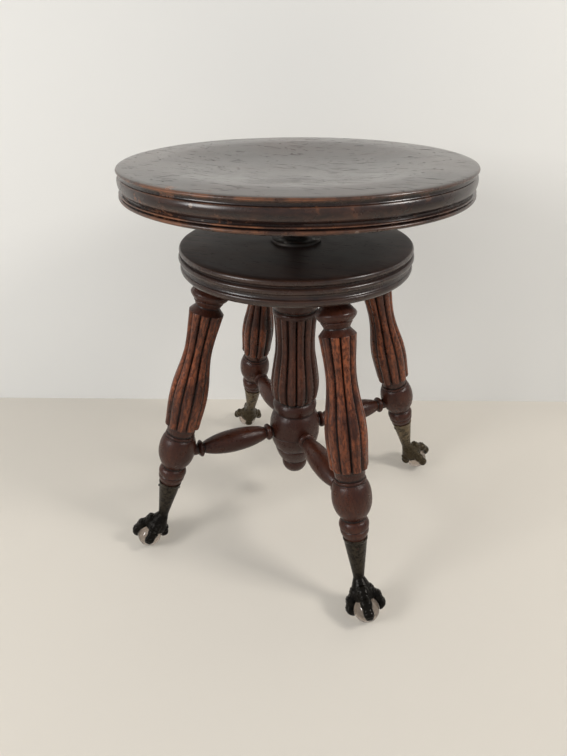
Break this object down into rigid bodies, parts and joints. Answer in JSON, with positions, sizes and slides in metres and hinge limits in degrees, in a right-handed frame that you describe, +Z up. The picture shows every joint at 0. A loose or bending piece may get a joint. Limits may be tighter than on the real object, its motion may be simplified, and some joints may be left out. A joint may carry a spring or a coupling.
{
  "type": "revolving piano stool",
  "caption": "Round wooden screw-adjustable stool on splayed reeded legs, with stretchers to a turned column and cast claw feet holding glass balls.",
  "frame": {"origin": "on the floor, on the screw's axis", "axes": "+Z up along the screw; the legs stand on the diagonals between X and Y"},
  "size_m": [0.3564, 0.3564, 0.4615],
  "materials": {
    "seat_wood": "worn dark varnish, satin, rubbed to orange-brown at the edges",
    "disc_wood": "dark glossy varnish",
    "turned_wood": "red-brown varnish, darker in the grooves",
    "cast_iron": "dark, lightly oiled",
    "spindle_steel": "oiled steel",
    "screw_steel": "dull steel",
    "nail_iron": "dark, flat",
    "bronze": "cast, darkened to brown-black on the claws",
    "glass": "clear, faint pink-grey"
  },
  "bodies": {
    "base": {"base_disc": "disc_wood", "center_column": "turned_wood", "drop_finial": "turned_wood", "glass_balls": "glass", "ferrule_nails": "nail_iron", "nut_plate": "cast_iron", "nut_plate_screws": "screw_steel", "leg_front_right": "turned_wood", "stretcher_front_right": "turned_wood", "claw_foot_front_right": "bronze", "leg_back_right": "turned_wood", "stretcher_back_right": "turned_wood", "claw_foot_back_right": "bronze", "leg_back_left": "turned_wood", "stretcher_back_left": "turned_wood", "claw_foot_back_left": "bronze", "leg_front_left": "turned_wood", "stretcher_front_left": "turned_wood", "claw_foot_front_left": "bronze"},
    "lift": {"stop_washer": "screw_steel"},
    "seat": {"seat": "seat_wood", "seat_spider": "cast_iron", "spider_screws": "screw_steel", "spindle": "spindle_steel", "stop_pin": "screw_steel"}
  },
  "joints": [
    {"name": "seat_lift", "type": "slide", "parent": "base", "child": "lift", "axis": [0, 0, 1], "range_m": [-0.0181, 0.0961]},
    {"name": "seat_turn", "type": "hinge", "parent": "lift", "child": "seat", "pos_m": [0, 0, 0.4], "axis": [0, 0, 1], "range_deg": [-1080, 5760]}
  ],
  "couplings": [
    {"joint": "seat_lift", "follows": "seat_turn", "m_per_rad": 0.00095493}
  ]
}
